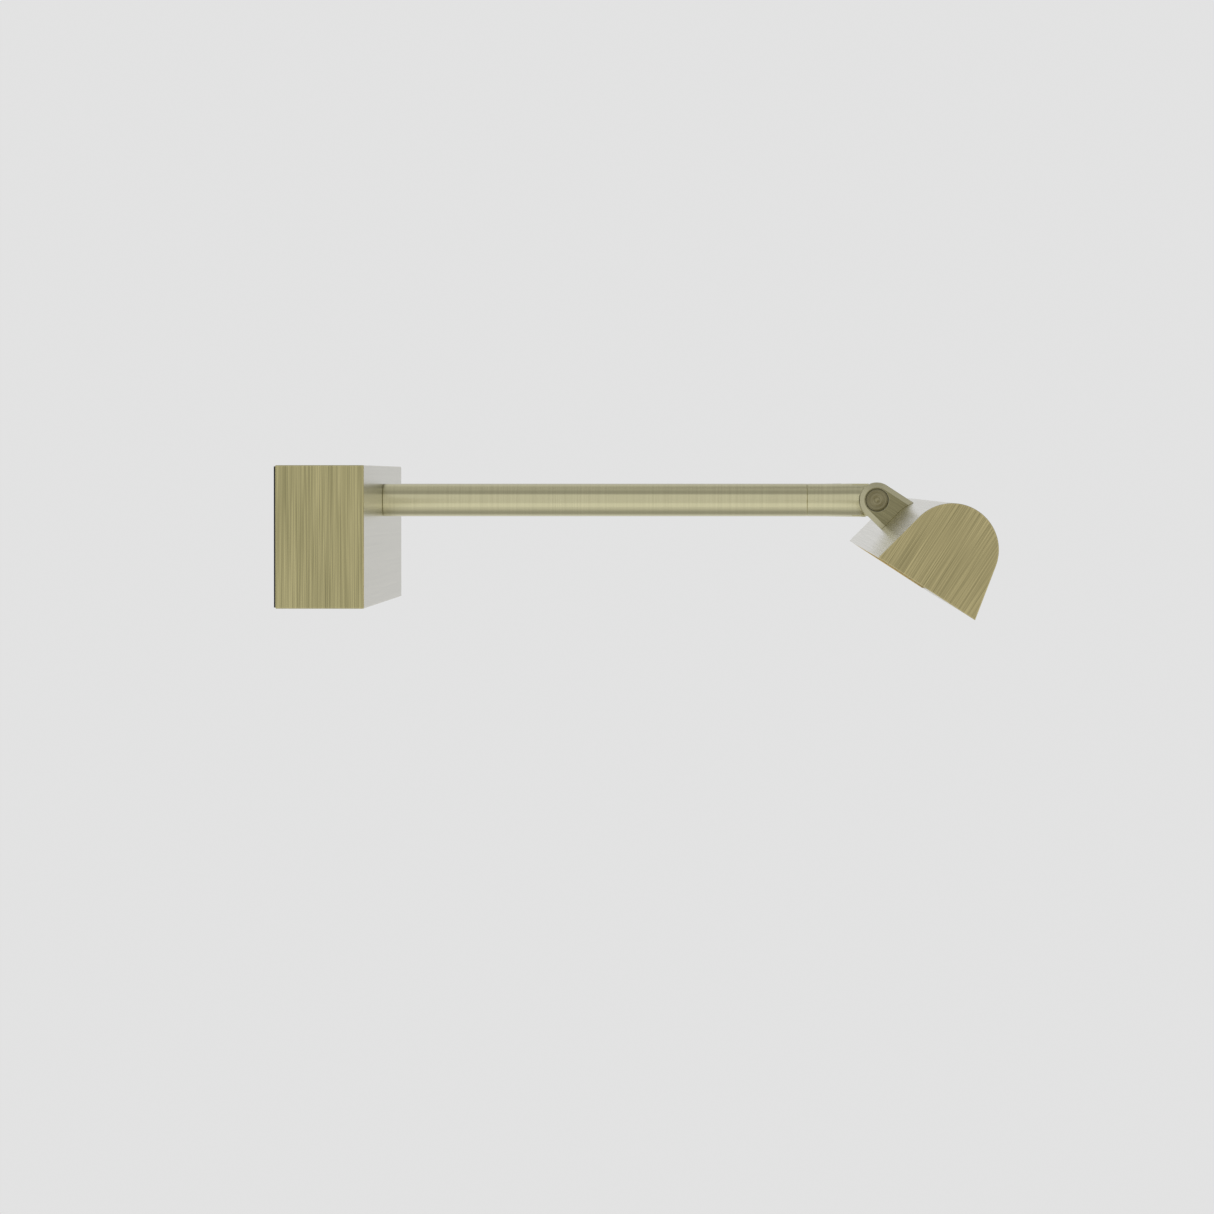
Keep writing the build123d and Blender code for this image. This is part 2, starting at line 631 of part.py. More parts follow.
def head_yoke():
    """Fork on the head's rear side: two chamfered cheeks round the arm's tongue, joined by a base."""
    far = 17.0                         # reaches into the housing, where it is cut off again
    lower = (cheek_radius * math.sin(taper), -cheek_radius * math.cos(taper))
    drop = lower[1] - (far + lower[0]) * math.tan(taper)
    outline = Polyline((0, cheek_radius), (-far, cheek_radius), (-far, drop), lower)
    round_end = ThreePointArc(lower, (cheek_radius, 0), (0, cheek_radius))
    yoke = section_x(make_face(outline + round_end), yoke_width)
    for end in (0, -1):
        cheek = yoke.faces().sort_by(Axis.X)[end]
        yoke = chamfer(cheek.edges(), yoke_chamfer, yoke_chamfer_depth, reference=cheek)
    yoke -= head_solid(60)
    floor = cheek_radius + 0.3
    yoke -= rod(2 * floor, slot_width, "X")
    yoke -= Pos(0, 10 - slot_base, 0) * Box(slot_width, 20, 40)
    yoke -= rod(sleeve_diameter + 2 * fit_gap, 2 * yoke_width, "X")
    for side in (-1, 1):
        yoke -= Pos(side * (cap_seat + 5), 0, 0) * rod(cap_bore, 10, "X")
        yoke -= Pos(side * screw_x, 0, 0) * on_rear_side(Pos(0, 0, 0.05) * rod(yoke_screw + fit_gap, 8.4))
    return yoke - Pos(0, -8, lead_z) * rod(3.0, 12, "Y")


def yoke_screws():
    seat = Rot(180, 0, 0) * pan_screw(yoke_screw, 5.6)
    return [Pos(x, 0, 0) * on_rear_side(Pos(0, 0, -head_wall) * seat) for x in (-screw_x, screw_x)]


# --- write every node -----------------------------------------------------------------------------
fixed_pieces = {
    "wall_plate": [wall_plate()],
    "wall_gasket": [wall_gasket()],
    "wall_cover": [wall_cover()],
    "cover_screws": cover_screws(),
    "led_driver": [led_driver()],
    "driver_screws": driver_screws(),
    "terminal_block": [terminal_block()],
    "terminal_screws": terminal_screws(),
    "cable_grommet": [cable_grommet()],
    "cord_clamp": [cord_clamp()],
    "clamp_screws": clamp_screws(),
    "earth_screw": [earth_screw()],
    "earth_ring": [earth_ring()],
    "supply_leads": supply_leads(),
    "earth_lead": [earth_lead()],
    "arm_stud": [arm_stud()],
    "arm_backing_plate": [arm_backing_plate()],
    "arm_lock_washer": [arm_lock_washer()],
    "arm_nut": [arm_nut()],
    "arm_tube": [arm_tube()],
    "arm_lead": [arm_lead()],
    "arm_knuckle": [arm_knuckle()],
    "knuckle_grub_screw": [knuckle_grub_screw()],
}
head_pieces = {
    "head_yoke": [head_yoke()],
    "yoke_screws": yoke_screws(),
    "pivot_barrel": [pivot_barrel()],
    "pivot_screw": [pivot_screw()],
    "friction_washers": friction_washers(),
    "head_housing": [head_housing()],
    "end_cap_left": [end_cap(-1)],
    "end_cap_right": [end_cap(1)],
    "diffuser": [diffuser()],
    "led_carrier": [led_carrier()],
    "led_board": [led_board()],
    "led_chips": led_chips(),
    "board_screws": board_screws(),
    "head_connector": [head_connector()],
    "head_lead": [head_lead()],
    "lead_bush": [lead_bush()],
}
for name, pieces in fixed_pieces.items():
    save(name, *pieces)
for name, pieces in head_pieces.items():
    save(name, *[head_place * piece for piece in pieces])
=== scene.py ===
import json
import math

import bmesh
import bpy
from mathutils import Matrix, Vector

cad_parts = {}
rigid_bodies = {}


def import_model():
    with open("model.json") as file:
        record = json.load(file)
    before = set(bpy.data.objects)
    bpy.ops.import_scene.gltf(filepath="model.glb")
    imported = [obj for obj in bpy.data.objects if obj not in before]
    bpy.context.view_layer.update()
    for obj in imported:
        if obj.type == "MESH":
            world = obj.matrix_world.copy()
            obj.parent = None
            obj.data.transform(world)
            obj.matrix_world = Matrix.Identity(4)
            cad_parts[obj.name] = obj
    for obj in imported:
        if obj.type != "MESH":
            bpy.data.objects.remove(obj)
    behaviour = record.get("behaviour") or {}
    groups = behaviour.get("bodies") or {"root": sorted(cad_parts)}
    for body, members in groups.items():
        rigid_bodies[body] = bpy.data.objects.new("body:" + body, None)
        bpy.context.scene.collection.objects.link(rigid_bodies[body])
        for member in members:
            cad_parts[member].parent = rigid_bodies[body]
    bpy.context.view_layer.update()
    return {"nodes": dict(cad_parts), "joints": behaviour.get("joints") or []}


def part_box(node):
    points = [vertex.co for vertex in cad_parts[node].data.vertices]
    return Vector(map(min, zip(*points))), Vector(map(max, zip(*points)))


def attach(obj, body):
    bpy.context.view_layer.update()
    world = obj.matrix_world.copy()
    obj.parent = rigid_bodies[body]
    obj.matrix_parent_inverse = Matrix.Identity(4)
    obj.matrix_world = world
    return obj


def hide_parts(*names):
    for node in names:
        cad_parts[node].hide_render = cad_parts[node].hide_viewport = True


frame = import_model()

mm = 0.001
degrees = math.radians(1)
hair = 0.01 * mm  # within this a point counts as on a face
weld = 0.001 * mm  # and within this as the same as another
joint = frame["joints"][0]
fixedBody, headBody = joint["parent"], joint["child"]
pivot = Vector(joint["pos_m"])
headTilt = 33 * degrees  # the open side leans towards the wall
# head pieces are drawn about the pivot, and the arm's own +Z runs from the pivot to the wall
headPlace = Matrix.Translation(pivot) @ Matrix.Rotation(headTilt, 4, "X")
armPlace = Matrix.Translation(pivot) @ Matrix.Rotation(-90 * degrees, 4, "X")
coverLow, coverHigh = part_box("wall_cover")
tubeLow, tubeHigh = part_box("arm_tube")
housingLow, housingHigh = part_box("head_housing")
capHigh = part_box("end_cap_right")[1]


def newMaterial(name):
    mat = bpy.data.materials.new(name)
    mat.use_nodes = True
    return mat, mat.node_tree, mat.node_tree.nodes["Principled BSDF"]


# sockets whose names are longer than the ones used here
socketNames = {
    "color": "Base Color", "specular": "Specular IOR Level", "aniso": "Anisotropic", "coat": "Coat Weight",
    "coatRoughness": "Coat Roughness", "glow": "Emission Strength", "glowColor": "Emission Color",
}


def setShader(shader, **values):
    for name, value in values.items():
        socket = shader.inputs[socketNames.get(name, name.capitalize())]
        socket.default_value = (*value, 1) if isinstance(value, tuple) else value


# object coordinates in metres, moved, turned and then stretched
def pattern(tree, stretch, turn=(0, 0, 0), centre=(0, 0, 0)):
    coords = tree.nodes.new("ShaderNodeTexCoord")
    placed = tree.nodes.new("ShaderNodeMapping")
    placed.vector_type = "TEXTURE"
    placed.inputs["Location"].default_value = centre
    placed.inputs["Rotation"].default_value = turn
    scaled = tree.nodes.new("ShaderNodeMapping")
    scaled.inputs["Scale"].default_value = stretch
    tree.links.new(coords.outputs["Object"], placed.inputs["Vector"])
    tree.links.new(placed.outputs["Vector"], scaled.inputs["Vector"])
    return scaled.outputs["Vector"]


def noise(tree, vector, detail=3.0, roughness=0.55):
    node = tree.nodes.new("ShaderNodeTexNoise")
    node.inputs["Scale"].default_value = 1.0
    node.inputs["Detail"].default_value = detail
    node.inputs["Roughness"].default_value = roughness
    tree.links.new(vector, node.inputs["Vector"])
    return node.outputs["Fac"]


# stretches a value to low...high; noise mostly lies between 0.3 and 0.7
def remap(tree, value, low, high, fromLow=0.3, fromHigh=0.7):
    node = tree.nodes.new("ShaderNodeMapRange")
    for name, number in (("From Min", fromLow), ("From Max", fromHigh), ("To Min", low), ("To Max", high)):
        node.inputs[name].default_value = number
    tree.links.new(value, node.inputs["Value"])
    return node.outputs["Result"]


def maths(tree, operation, *values):
    node = tree.nodes.new("ShaderNodeMath")
    node.operation = operation
    for socket, value in zip(node.inputs, values):
        if isinstance(value, (int, float)):
            socket.default_value = value
        else:
            tree.links.new(value, socket)
    return node.outputs[0]


def mixColour(tree, factor, first, second):
    node = tree.nodes.new("ShaderNodeMix")
    node.data_type = "RGBA"
    for socket, value in ((node.inputs[6], first), (node.inputs[7], second)):
        if isinstance(value, tuple):
            socket.default_value = (*value, 1)
        else:
            tree.links.new(value, socket)
    tree.links.new(factor, node.inputs[0])
    return node.outputs[2]


# distance from a point, where counted holds 0 for an axis that is left out
def distanceFrom(tree, centre, counted):
    node = tree.nodes.new("ShaderNodeVectorMath")
    node.operation = "LENGTH"
    tree.links.new(pattern(tree, counted, centre=centre), node.inputs[0])
    return node.outputs["Value"]


def bumpFrom(tree, shader, height, strength, distance):
    node = tree.nodes.new("ShaderNodeBump")
    node.inputs["Strength"].default_value = strength
    node.inputs["Distance"].default_value = distance
    tree.links.new(height, node.inputs["Height"])
    tree.links.new(node.outputs["Normal"], shader.inputs["Normal"])


brassFinish = {
    "light": (0.600, 0.541, 0.276),
    "dark": (0.275, 0.248, 0.115),
    "lineRange": (0.36, 0.64),  # where the lines run from dark to light
    "wornTint": (0.97, 0.98, 0.93),  # soft clouds of an even tone
    "wornShare": 0.25,
    "cloudScale": 28.0,
    "fineScale": 5000.0,  # hairlines per metre, roughly
    "coarseScale": 2500.0,
    "patchScale": 260.0,  # bands of fainter and stronger lines
    "patchStrength": (0.7, 1.2),
    "hairlineShare": 0.55,  # the coarse streaks have the rest
    "coarseFade": 0.6,  # they fade this much more slowly along their length
    "shortAlong": 34.0,  # how quickly a hairline fades along its length, on short faces
    "longAlong": 6.0,  # and on faces brushed from end to end
    "longRange": (0.44, 0.56),  # the part of the pattern that shows on the box's long faces
    "ringScales": (3200.0, 950.0),  # fine and coarse lathe marks
    "edgeWidth": 0.0006,  # the band along outside edges that is painted lighter, as rubbed wear and a painted highlight
    "edgeRange": (0.93, 0.998),  # how far the rounded normal agrees with the face's own
    # how much lighter the edge band is: rubbed wear together with a painted highlight
    "edgeHighlightLift": 1.12,
    "coat": 0.45,  # clear lacquer
    "coatRoughness": 0.16,
    "bump": 0.08,
    "depth": 0.00003,
}


# brush lines: across holds 1 for an axis that the lines cross and 0 for the axis that they follow
def grain(tree, across, turn=(0, 0, 0), centre=(0, 0, 0), along="shortAlong"):
    run = brassFinish[along]
    share = brassFinish["hairlineShare"]

    def layer(scale, fade, detail):
        stretch = [brassFinish[scale] if a else fade for a in across]
        return noise(tree, pattern(tree, stretch, turn, centre), detail, 0.5)

    hairlines = maths(tree, "MULTIPLY", layer("fineScale", run, 1.0), share)
    streaks = maths(tree, "MULTIPLY", layer("coarseScale", run * brassFinish["coarseFade"], 2.0), 1 - share)
    both = maths(tree, "ADD", hairlines, streaks)
    strength = remap(tree, layer("patchScale", run, 2.0), *brassFinish["patchStrength"])
    return maths(tree, "MULTIPLY_ADD", maths(tree, "SUBTRACT", both, 0.5), strength, 0.5)


# lathe marks round the pivot
def pivotRings(tree):
    radius = distanceFrom(tree, tuple(pivot), (0, 1, 1))
    rings = []
    for scale in brassFinish["ringScales"]:
        node = tree.nodes.new("ShaderNodeTexNoise")
        node.noise_dimensions = "1D"
        node.inputs["Scale"].default_value = scale
        node.inputs["Detail"].default_value = 1.0
        tree.links.new(radius, node.inputs["W"])
        rings.append(maths(tree, "MULTIPLY", node.outputs["Fac"], 0.5))
    return maths(tree, "ADD", *rings)


# lines round the arm
def armLines(tree):
    return grain(tree, (0, 1, 0))


# lines turned with the head
def headLines(across, along="shortAlong"):
    def lines(tree):
        return grain(tree, across, (headTilt, 0, 0), tuple(pivot), along)
    return lines


# 1 on faces that look along the head, either way
def facesEndways(tree, least=0.8):
    coords = tree.nodes.new("ShaderNodeTexCoord")
    split = tree.nodes.new("ShaderNodeSeparateXYZ")
    tree.links.new(coords.outputs["Normal"], split.inputs[0])
    return maths(tree, "GREATER_THAN", maths(tree, "ABSOLUTE", split.outputs[0]), least)


# upright on the box's ends and lengthways on its other faces
def boxLines(tree):
    upright = grain(tree, (1, 1, 0))
    lengthways = remap(tree, grain(tree, (0, 1, 1), along="longAlong"), *brassFinish["longRange"])
    node = tree.nodes.new("ShaderNodeMix")
    tree.links.new(facesEndways(tree), node.inputs[0])
    tree.links.new(lengthways, node.inputs[2])
    tree.links.new(upright, node.inputs[3])
    return node.outputs[0]


# 1 within about width of an outside edge, fading to 0 on the flats: where edges get rubbed wear and a painted
# highlight
def edgeWearAndHighlight(tree, width):
    bevel = tree.nodes.new("ShaderNodeBevel")
    bevel.samples = 6
    bevel.inputs["Radius"].default_value = width
    geometry = tree.nodes.new("ShaderNodeNewGeometry")
    turned = tree.nodes.new("ShaderNodeVectorMath")
    turned.operation = "DOT_PRODUCT"
    tree.links.new(bevel.outputs["Normal"], turned.inputs[0])
    tree.links.new(geometry.outputs["Normal"], turned.inputs[1])
    return remap(tree, turned.outputs["Value"], 1.0, 0.0, *brassFinish["edgeRange"])


def tinted(color, tint):
    return tuple(c * t for c, t in zip(color, tint))


# lines(tree) gives the brush pattern; faces that don't look along the head can be given a lighter tint, a
# painted reflection
# rotation is 0.25 where the brush map runs along the lines and 0 where it runs across them
def brassMaterial(name, lines, tone=(1, 1, 1), roughness=(0.26, 0.36), anisotropy=0.8, rotation=0.25,
                  contrast=1.0, paintedSideReflection=None, edges=False):
    mat, tree, shader = newMaterial(name)
    marks = lines(tree)
    cloud = noise(tree, pattern(tree, (brassFinish["cloudScale"],) * 3), 4.0)
    light = tinted(brassFinish["light"], tone)
    dark = tinted(brassFinish["dark"], tone)
    middle = tuple((a + b) / 2 for a, b in zip(light, dark))
    swing = 0.5 * contrast
    shares = remap(tree, marks, 0.5 - swing, 0.5 + swing, *brassFinish["lineRange"])
    brushed = mixColour(tree, shares, dark, light)
    worn = remap(tree, cloud, 0.0, brassFinish["wornShare"])
    colour = mixColour(tree, worn, brushed, tinted(middle, brassFinish["wornTint"]))
    # painted reflection: faces that don't look along the head are made lighter by this tint
    if paintedSideReflection:
        colour = mixColour(tree, facesEndways(tree, 0.97), tinted(middle, paintedSideReflection), colour)
    # outside edges painted lighter: rubbed wear and a painted highlight
    if edges:
        rubbedAndHighlit = tuple(c * brassFinish["edgeHighlightLift"] for c in light)
        colour = mixColour(tree, edgeWearAndHighlight(tree, brassFinish["edgeWidth"]), colour, rubbedAndHighlit)
    tree.links.new(colour, shader.inputs["Base Color"])
    tree.links.new(remap(tree, marks, roughness[1], roughness[0]), shader.inputs["Roughness"])
    shader.distribution = "GGX"
    setShader(shader, metallic=1.0, aniso=anisotropy, coat=brassFinish["coat"],
              coatRoughness=brassFinish["coatRoughness"])
    shader.inputs["Anisotropic Rotation"].default_value = rotation
    tangent = tree.nodes.new("ShaderNodeTangent")
    tangent.direction_type = "UV_MAP"
    tangent.uv_map = "brush"
    tree.links.new(tangent.outputs["Tangent"], shader.inputs["Tangent"])
    relief = maths(tree, "MULTIPLY", marks, facesEndways(tree))  # the other faces stay smooth
    bumpFrom(tree, shader, relief, brassFinish["bump"], brassFinish["depth"])
    return mat


plainFinish = {
    "cloudScale": 35.0,
    "glossSwing": 0.1,  # share of the roughness, up and down
    "depth": 0.0002,
}


# moulded or cast surfaces: slight colour and gloss variation and a fine grain
def plainMaterial(name, color, roughness, metallic=0.0, speckle=0.08, scale=900.0, bump=0.05, **more):
    mat, tree, shader = newMaterial(name)
    fine = noise(tree, pattern(tree, (scale,) * 3))
    soft = noise(tree, pattern(tree, (plainFinish["cloudScale"],) * 3))
    swing = roughness * plainFinish["glossSwing"]
    darker = tuple(c * (1 - speckle) for c in color)
    tree.links.new(mixColour(tree, remap(tree, soft, 0.0, 1.0), darker, color), shader.inputs["Base Color"])
    tree.links.new(remap(tree, fine, roughness - swing, roughness + swing), shader.inputs["Roughness"])
    setShader(shader, metallic=metallic, **more)
    bumpFrom(tree, shader, fine, bump, plainFinish["depth"])
    return mat


brassBox = brassMaterial("brassBox", boxLines, roughness=(0.20, 0.27), contrast=0.8, edges=True)
brassCap = brassMaterial("brassEndCap", headLines((1, 1, 0)), tone=(0.99, 0.945, 0.93), edges=True)
brassHead = brassMaterial("brassHead", headLines((0, 1, 1), "longAlong"), roughness=(0.19, 0.26),
                          contrast=0.5)
brassTube = brassMaterial("brassTube", armLines, tone=(1.41, 1.475, 1.89), roughness=(0.20, 0.215),
                          anisotropy=0.6, rotation=0.0, contrast=0.14)
# the fork's flats are darkened as painted shade of its recess between box and head, and its chamfers and
# sides lightened as a painted reflection
brassFork = brassMaterial("brassFork", headLines((1, 0, 1)), tone=(0.655, 0.665, 0.715),
                          roughness=(0.26, 0.34), anisotropy=0.5, contrast=0.5, paintedSideReflection=(1.78, 1.83, 2.22))
brassTurned = brassMaterial("brassTurned", pivotRings, tone=(0.60, 0.595, 0.66), roughness=(0.28, 0.38),
                            anisotropy=0.6, rotation=0.0)
plainBrass = plainMaterial("plainBrass", (0.60, 0.50, 0.26), 0.3, 1.0, 0.12)
zincPlate = plainMaterial("zincPlate", (0.56, 0.57, 0.58), 0.38, 1.0, 0.15)
screwSteel = plainMaterial("screwSteel", (0.60, 0.60, 0.59), 0.28, 1.0, 0.1)
satinAluminium = plainMaterial("satinAluminium", (0.74, 0.75, 0.76), 0.34, 1.0, 0.06)
blackFoam = plainMaterial("blackFoam", (0.022, 0.022, 0.022), 0.9, 0.0, 0.3, 1800.0, 0.5)
blackRubber = plainMaterial("blackRubber", (0.030, 0.030, 0.030), 0.62, 0.0, 0.2)
whiteCase = plainMaterial("whiteCase", (0.78, 0.78, 0.75), 0.45)
greyNylon = plainMaterial("greyNylon", (0.62, 0.62, 0.60), 0.5)
whiteBoard = plainMaterial("whiteBoard", (0.85, 0.85, 0.82), 0.4)
ledYellow = plainMaterial("ledYellow", (0.85, 0.68, 0.22), 0.25)
blackLead = plainMaterial("blackLead", (0.03, 0.03, 0.03), 0.5)
brownLead = plainMaterial("brownLead", (0.18, 0.09, 0.04), 0.5)
greenLead = plainMaterial("greenLead", (0.12, 0.40, 0.08), 0.5)
opal = plainMaterial("opalDiffuser", (0.42, 0.32, 0.16), 0.42, 0.0, 0.03, 1200.0, 0.04, glow=0.6,
                     glowColor=(1.0, 0.62, 0.16))
print("materials ready:", len(bpy.data.materials))

cadFinish = {
    "wall_plate": zincPlate, "wall_gasket": blackFoam, "cover_screws": screwSteel, "led_driver": whiteCase,
    "driver_screws": screwSteel, "terminal_block": greyNylon, "terminal_screws": screwSteel,
    "cable_grommet": blackRubber, "cord_clamp": greyNylon, "clamp_screws": screwSteel,
    "earth_screw": plainBrass, "earth_ring": zincPlate, "supply_leads": brownLead, "earth_lead": greenLead,
    "arm_stud": zincPlate, "arm_backing_plate": zincPlate, "arm_lock_washer": zincPlate, "arm_nut": zincPlate,
    "arm_lead": blackLead, "knuckle_grub_screw": screwSteel, "yoke_screws": screwSteel,
    "friction_washers": greyNylon, "led_carrier": satinAluminium, "led_board": whiteBoard,
    "led_chips": ledYellow, "board_screws": screwSteel, "head_connector": whiteCase, "head_lead": blackLead,
    "lead_bush": greyNylon, "wall_cover": brassBox, "arm_tube": brassTube, "arm_knuckle": brassTube,
    "head_yoke": brassFork, "pivot_barrel": brassTurned, "pivot_screw": brassTurned,
    "head_housing": brassHead, "end_cap_left": brassCap, "end_cap_right": brassCap, "diffuser": opal,
}
for nodeName, nodeObject in frame["nodes"].items():
    nodeObject.data.materials.clear()
    nodeObject.data.materials.append(cadFinish[nodeName])


# rounds the edges that turn by more than sharp degrees
def softenEdges(bm, width, segments=2, sharp=30, only=None):
    edges = [e for e in bm.edges if len(e.link_faces) == 2 and e.calc_face_angle(0) > sharp * degrees]
    if only:
        edges = [e for e in edges if only(e)]
    bmesh.ops.bevel(bm, geom=edges, offset=width, offset_type="OFFSET", segments=segments, profile=0.5,
                    affect="EDGES", material=-1, clamp_overlap=True)


# turns a profile of (radius, height) round Z
def lathe(profile, steps=128):
    bm = bmesh.new()
    points = [bm.verts.new((radius, 0, height)) for radius, height in profile]
    closed = profile[0][0] > weld and profile[-1][0] > weld  # a tube's profile, clear of the axis
    pairs = zip(points, points[1:] + points[:1]) if closed else zip(points, points[1:])
    edges = [bm.edges.new(pair) for pair in pairs]
    bmesh.ops.spin(bm, geom=points + edges, cent=(0, 0, 0), axis=(0, 0, 1), angle=2 * math.pi,
                   steps=steps, use_merge=True, use_duplicate=False)
    bmesh.ops.remove_doubles(bm, verts=bm.verts, dist=weld)
    bmesh.ops.dissolve_degenerate(bm, dist=weld / 10, edges=bm.edges)
    return bm


# a (y, z) outline drawn out along X, centred on x = 0
def slab(outline, width):
    bm = bmesh.new()
    face = bm.faces.new([bm.verts.new((-width / 2, y, z)) for y, z in outline])
    grown = bmesh.ops.extrude_face_region(bm, geom=[face])["geom"]
    bmesh.ops.translate(bm, vec=(width, 0, 0), verts=[v for v in grown if isinstance(v, bmesh.types.BMVert)])
    bmesh.ops.recalc_face_normals(bm, faces=bm.faces)
    return bm


# a round or many-sided bar centred on the origin, along Z
def rod(low, high, depth, sides):
    bm = bmesh.new()
    bmesh.ops.create_cone(bm, segments=sides, radius1=low, radius2=high, depth=depth, cap_ends=True)
    return bm


def block(size):
    bm = bmesh.new()
    bmesh.ops.create_cube(bm, size=1.0)
    bmesh.ops.scale(bm, vec=size, verts=bm.verts)
    return bm


# points round an arc in the (y, z) plane, angles in degrees from +Y
def arc(centre, radius, start, end, steps):
    turns = [(start + (end - start) * i / steps) * degrees for i in range(steps + 1)]
    return [(centre[0] + radius * math.cos(t), centre[1] + radius * math.sin(t)) for t in turns]


def asObject(name, bm, place=Matrix.Identity(4)):
    bmesh.ops.transform(bm, matrix=place, verts=bm.verts)
    bmesh.ops.recalc_face_normals(bm, faces=bm.faces)
    mesh = bpy.data.meshes.new(name)
    bm.to_mesh(mesh)
    bm.free()
    piece = bpy.data.objects.new(name, mesh)
    bpy.context.scene.collection.objects.link(piece)
    return piece


# applies one boolean and removes the cutter
def carve(piece, cutter, operation="DIFFERENCE"):
    change = piece.modifiers.new("carve", "BOOLEAN")
    change.operation = operation
    change.solver = "EXACT"
    change.object = cutter
    result = bpy.data.meshes.new_from_object(piece.evaluated_get(bpy.context.evaluated_depsgraph_get()))
    piece.modifiers.clear()
    piece.data = result
    bpy.data.objects.remove(cutter)


# a UV map whose U runs along direction(normal, centre) on each face
def brushMap(piece, direction):
    perMetre = 100  # map units
    layer = piece.data.uv_layers.new(name="brush")
    for polygon in piece.data.polygons:
        normal = polygon.normal
        run = direction(normal, polygon.center)
        run = (run - normal * run.dot(normal)).normalized()
        rise = normal.cross(run)
        for loop in polygon.loop_indices:
            point = piece.data.vertices[piece.data.loops[loop].vertex_index].co
            layer.data[loop].uv = (point.dot(run) * perMetre, point.dot(rise) * perMetre)


# last edge rounding, shading, material and brush map; the piece joins its body and the CAD parts it replaces
# are hidden
def finishPiece(piece, body, material, slotName, *replaced, brush, sharp=32, rounding=None):
    bm = bmesh.new()
    bm.from_mesh(piece.data)
    bmesh.ops.remove_doubles(bm, verts=bm.verts, dist=2 * weld)
    if rounding:
        bmesh.ops.dissolve_limit(bm, angle_limit=0.5 * degrees, verts=bm.verts, edges=bm.edges)
        softenEdges(bm, rounding)
        bmesh.ops.remove_doubles(bm, verts=bm.verts, dist=2 * weld)
    bmesh.ops.recalc_face_normals(bm, faces=bm.faces)
    bm.to_mesh(piece.data)
    bm.free()
    for polygon in piece.data.polygons:
        polygon.use_smooth = True
    piece.data.set_sharp_from_angle(angle=sharp * degrees)
    piece.modifiers.new("flatFaces", "WEIGHTED_NORMAL").keep_sharp = True
    piece.data.materials.clear()
    piece.data.materials.append(material)
    brushMap(piece, brush)
    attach(piece, body)
    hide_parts(*replaced)
    return piece


axisX, axisY, axisZ = Vector((1, 0, 0)), Vector((0, 1, 0)), Vector((0, 0, 1))
headUp = headPlace.to_3x3() @ axisZ
headOut = headPlace.to_3x3() @ axisY


# which way the brush map runs on a face, from its normal and centre
def upOnEnds(normal, centre):
    return axisZ if abs(normal.x) > 0.8 else axisX


def alongArm(normal, centre):
    return axisY if abs(normal.y) < 0.9 else axisZ


def alongHead(normal, centre):
    return axisX if abs(normal.x) < 0.9 else headUp


def upOnCaps(normal, centre):
    return headUp if abs(normal.x) > 0.5 else axisX


def alongFork(normal, centre):
    return headOut if abs(normal.x) > 0.5 else normal.cross(axisX)


def fromPivot(normal, centre):
    spoke = centre - pivot
    spoke.x = 0
    return spoke.normalized() if abs(normal.x) > 0.5 else axisX


cover = {
    "wall": 1.5 * mm,
    "edge": 0.30 * mm,
    "screwX": 80 * mm,
    "screwY": -7 * mm,
    "screwHead": 5.8 * mm,
    "screwSink": 1.45 * mm,
}


def makeCover():
    size = coverHigh - coverLow
    bm = block(size)
    bmesh.ops.translate(bm, vec=(coverLow + coverHigh) / 2, verts=bm.verts)
    back = max(bm.faces, key=lambda f: f.calc_center_median().y)
    bmesh.ops.inset_region(bm, faces=[back], thickness=cover["wall"], use_even_offset=True)
    grown = bmesh.ops.extrude_face_region(bm, geom=[back])["geom"]
    floor = [v for v in grown if isinstance(v, bmesh.types.BMVert)]
    bmesh.ops.delete(bm, geom=[back], context="FACES_ONLY")
    bmesh.ops.translate(bm, vec=(0, cover["wall"] - size.y, 0), verts=floor)

    def outside(edge):
        return all(abs(v.co.x) > size.x / 2 - hair or abs(v.co.z) > size.z / 2 - hair for v in edge.verts)

    softenEdges(bm, cover["edge"], 3, only=outside)
    piece = asObject("wallCover", bm)
    for x in (-cover["screwX"], cover["screwX"]):
        sink = rod(cover["screwHead"] / 2, cover["screwHead"] / 4, cover["screwSink"] * 2, 48)
        carve(piece, asObject("sink", sink, Matrix.Translation((x, cover["screwY"], coverLow.z))))
    return finishPiece(piece, fixedBody, brassBox, "brushed_brass", "wall_cover", brush=upOnEnds)


makeCover()
print("wall box ready")


head = {
    "radius": 14.999 * mm,
    "drop": 15.0 * mm,
    "taper": 12.0,
    "forward": 23.7 * mm,
    "lower": 2.65 * mm,
    "wall": 1.5 * mm,
    "lipBottom": 2.0 * mm,
    "lipTop": 3.0 * mm,
    "lipWidth": 1.6 * mm,
    "edge": 0.16 * mm,
    "capEdge": 0.224 * mm,
}
arm = {
    "radius": 6.0 * mm,
    "bore": 4.5 * mm,
    "edge": 0.18 * mm,
    "tipRadius": 6.175 * mm,
    "tipSwellStart": 6.5 * mm,  # from the seam
    "tipSwellEnd": 15.5 * mm,
    "cheekRadius": 6.45 * mm,
    "shoulderGap": 0.24 * mm,
    "lowestTilt": 45.0,  # where the fork's lower side would meet the shoulder
    "tongueWidth": 5.0 * mm,
    "tongueRadius": 5.9 * mm,
    "tongueBack": 9.0 * mm,  # from the pivot into the shoulder
    "grooveSize": (2.6 * mm, 17 * mm, 5 * mm),  # for the lead, along the top
    "groovePlace": Vector((0, 4.5, 5.9)) * mm,  # from the pivot
    "clearance": 14 * mm,  # how far the shoulder's cutter reaches
    "cutterWidth": 40 * mm,
}
seam = tubeLow.y - pivot.y  # pivot to the seam between tube and tip, along the arm
root = tubeHigh.y - pivot.y


